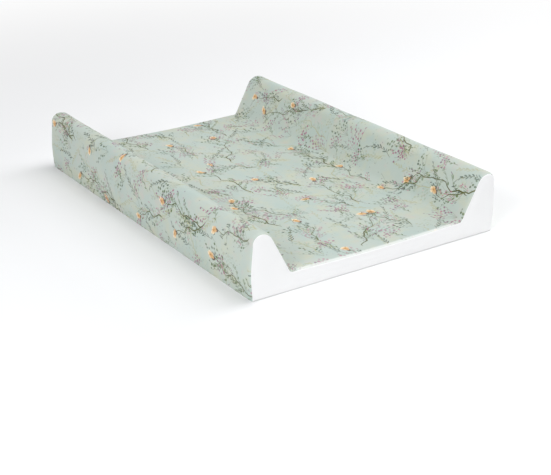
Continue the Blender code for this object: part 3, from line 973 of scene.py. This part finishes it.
def foam_base_slab(holes, foam):
    """The slab: its dished top, and its bulged sides down to the bottom, paired with as many points below.

    A round pocket in its rear face leaves room for each vent.
    """
    places = stations(SKIN_FRONT, SKIN_REAR, FOAM_MIDWAY)
    depth = (FOAM_INSET + draw_in(places))[:, None]
    heights = np.linspace(SKIN_BOTTOM, slab_high.z, SLAB_SIDE_POINTS)
    side = as_points(side_x(heights) - depth, heights)
    foot_x = FOOT_X + depth * math.tan(SLOPE_ANGLE / 2)
    share = np.linspace(1, 0, SLAB_DISH_POINTS)
    dish = as_points(foot_x * share, lying_height(share) - depth)
    slope_x = FOOT_X + depth / math.sin(SLOPE_ANGLE) - FOAM_INSET / math.tan(SLOPE_ANGLE) + FOOT_TUCK
    upper = np.concatenate([side, as_points(slope_x, slab_high.z), dish], axis=1)
    upper = np.concatenate([upper, upper[:, -2::-1] * (-1, 1)], axis=1)
    share = np.linspace(1, -1, upper.shape[1] + 2)[1:-1]
    lower = as_points(-side[:, :1, 0] * share, SKIN_BOTTOM)
    made = closed_loft("foam_slab", raised(np.concatenate([upper, lower], axis=1), places), [foam])
    for center, flange in holes:
        start = VENT_INNER_END - VENT_POCKET_CLEARANCE
        cut_hole(made, center, flange + VENT_POCKET_CLEARANCE, start, SKIN_REAR + CUT_OVERRUN)
    return made


def foam_bolster(name, side, foam):
    """A wedge: the skin's curve moved in by the film, closed by the flat face that is glued to the slab."""
    places = stations(SKIN_FRONT, SKIN_REAR, FOAM_MIDWAY)
    ridge = bolster_curve()
    curve = np.concatenate([[(FOOT_X, PAD_HEIGHT)], ridge[ridge[:, 1] > BOLSTER_BOTTOM]])[None]
    curve = np.repeat(curve, len(places), axis=0)
    curve = curve - outward(curve) * (FOAM_INSET + draw_in(places))[:, None, None]
    low, high = curve[:, 0], curve[:, 1]
    slope = (BOLSTER_BOTTOM - low[:, 1]) / (high[:, 1] - low[:, 1])
    curve[:, 0] = low + (high - low) * slope[:, None]
    curve[:, 0, 1] = curve[:, -1, 1] = BOLSTER_BOTTOM
    share = np.linspace(0, 1, curve.shape[1] + 2)[1:-1, None]
    base = curve[:, -1:] * (1 - share) + curve[:, :1] * share
    ring = np.concatenate([curve, base], axis=1) * (side, 1)
    return closed_loft(name, raised(ring, places), [foam])


def turned(name, node, profile, nickel):
    """A ring turned about its solid's own axis along Y, from a closed profile of (radius, place along Y)."""
    low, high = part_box(node)
    center = (low + high) / 2
    angles = np.linspace(0, 2 * np.pi, RING_POINTS, endpoint=False)
    radius, place = profile[:, 0], profile[:, 1]
    across, up = np.outer(np.cos(angles), radius), np.outer(np.sin(angles), radius)
    corners = as_points(center.x + across, place, center.z + up).reshape(-1, 3)
    corner = np.arange(len(corners)).reshape(len(angles), -1)
    faces = grid_quads(np.pad(corner, ((0, 1), (0, 1)), "wrap"))
    return make_piece(name, corners, faces, [nickel])


def rounded(points, segments=5):
    """A closed outline with each corner rounded by a quadratic curve from a vent's rounding before it."""
    points = np.asarray(points, dtype=float)
    before = np.roll(points, 1, axis=0) - points
    after = np.roll(points, -1, axis=0) - points
    start = points + before / np.linalg.norm(before, axis=1, keepdims=True) * VENT_ROUNDING
    end = points + after / np.linalg.norm(after, axis=1, keepdims=True) * VENT_ROUNDING
    t = np.linspace(0, 1, segments)[None, :, None]
    curve = (1 - t) ** 2 * start[:, None] + 2 * t * (1 - t) * points[:, None] + t**2 * end[:, None]
    return curve.reshape(-1, 2)


def vent_centers():
    """Each vent's middle and its flange's radius, from its solid's box."""
    boxes = [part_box(f"{side}_vent_eyelet") for side in ("left", "right")]
    return [((low + high) / 2, (high.x - low.x) / 2) for low, high in boxes]


def vents(nickel):
    """The eyelets with their rolled flange and lip, and the washers behind the rear film."""
    flange = (eyelet_high.x - eyelet_low.x) / 2
    flange_inside = REAR_FACE + FIT_GAP
    lip = BARREL_RADIUS + VENT_LIP
    lip_start = VENT_INNER_END + VENT_WALL
    washer_low, washer_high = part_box("left_vent_washer")
    washer_bore = BARREL_RADIUS + FIT_GAP
    eyelet_outline = rounded([
        (VENT_BORE_RADIUS, eyelet_high.y), (flange, eyelet_high.y), (flange, flange_inside),
        (BARREL_RADIUS, flange_inside), (BARREL_RADIUS, lip_start), (lip, lip_start),
        (lip, VENT_INNER_END), (VENT_BORE_RADIUS, VENT_INNER_END),
    ])
    washer_outline = rounded([
        (washer_bore, washer_high.y), (flange, washer_high.y),
        (flange, washer_low.y), (washer_bore, washer_low.y),
    ])
    for side in ("left", "right"):
        for part, outline in (("eyelet", eyelet_outline), ("washer", washer_outline)):
            node = f"{side}_vent_{part}"
            dress(turned(f"{side}_{part}", node, outline, nickel), node)


def area_light(name, place, size, power, color):
    """A soft square lamp that faces the mat."""
    data = bpy.data.lights.new(name, "AREA")
    data.size = size
    data.energy = power
    data.color = color
    lamp = add_object(name, data)
    lamp.location = place
    lamp.rotation_mode = "QUATERNION"
    lamp.rotation_quaternion = (Vector(LAMP_TARGET) - Vector(place)).to_track_quat("-Z", "Y")


def studio():
    """A pale floor, a white surround, and soft lamps all round; those at the sides are a little cool."""
    mesh = bpy.data.meshes.new("floor")
    corners = [(FLOOR_REACH * x, FLOOR_REACH * y, 0) for x, y in ((-1, -1), (1, -1), (1, 1), (-1, 1))]
    mesh.from_pydata(corners, [], [(0, 1, 2, 3)])
    mesh.materials.append(floor_material())
    add_object("floor", mesh)

    world = bpy.data.worlds.new("white_surround")
    world.use_nodes = True
    bpy.context.scene.world = world
    background = world.node_tree.nodes["Background"]
    background.inputs["Color"].default_value = (1, 1, 1, 1)
    rays = world.node_tree.nodes.new("ShaderNodeLightPath")
    seen = Field(rays.outputs["Is Camera Ray"])
    for ray in ("Is Glossy Ray", "Is Transmission Ray"):
        seen = seen.larger(rays.outputs[ray])
    feed(background.inputs["Strength"], seen * (1.0 - WORLD_LIGHT) + WORLD_LIGHT)
    for lamp in LAMPS:
        area_light(*lamp)


def camera():
    data = bpy.data.cameras.new("camera")
    data.sensor_width = SENSOR_WIDTH_MM
    data.lens = FOCAL_PIXELS * SENSOR_WIDTH_MM / FRAME_WIDTH_PIXELS
    made = add_object("camera", data)
    turn = (
        Matrix.Rotation(-CAMERA_HEADING, 4, "Z")
        @ Matrix.Rotation(math.pi / 2 - CAMERA_PITCH, 4, "X")
        @ Matrix.Rotation(CAMERA_ROLL, 4, "Z")
    )
    made.matrix_world = Matrix.Translation(CAMERA_PLACE) @ turn
    bpy.context.scene.camera = made


camera()
studio()
bpy.context.scene.view_settings.view_transform = "Standard"

print_film = printed_film_material()
white_film = white_film_material()
fleece = fleece_material()
foam = foam_material()
nickel = nickel_material()

slab = dress(foam_base_slab(vent_centers(), foam), "foam_base_slab")
for side_name, side in (("left", -1), ("right", 1)):
    bolster = foam_bolster(f"{side_name}_bolster_foam", side, foam)
    dress(bolster, f"{side_name}_foam_bolster")

cover, cover_width = printed_cover(print_film, fleece)
dress(cover, "printed_cover")

for name, node, face, inward, holes in (
    ("front_end_film", "front_end_panel", FRONT_FACE, 1, []),
    ("rear_end_film", "rear_end_panel", REAR_FACE, -1, vent_centers()),
):
    panel, panel_area = end_film(name, face, inward, holes, white_film, fleece)
    dress(panel, node)

underside = dress(underside_film(white_film, fleece), "underside_panel")
vents(nickel)
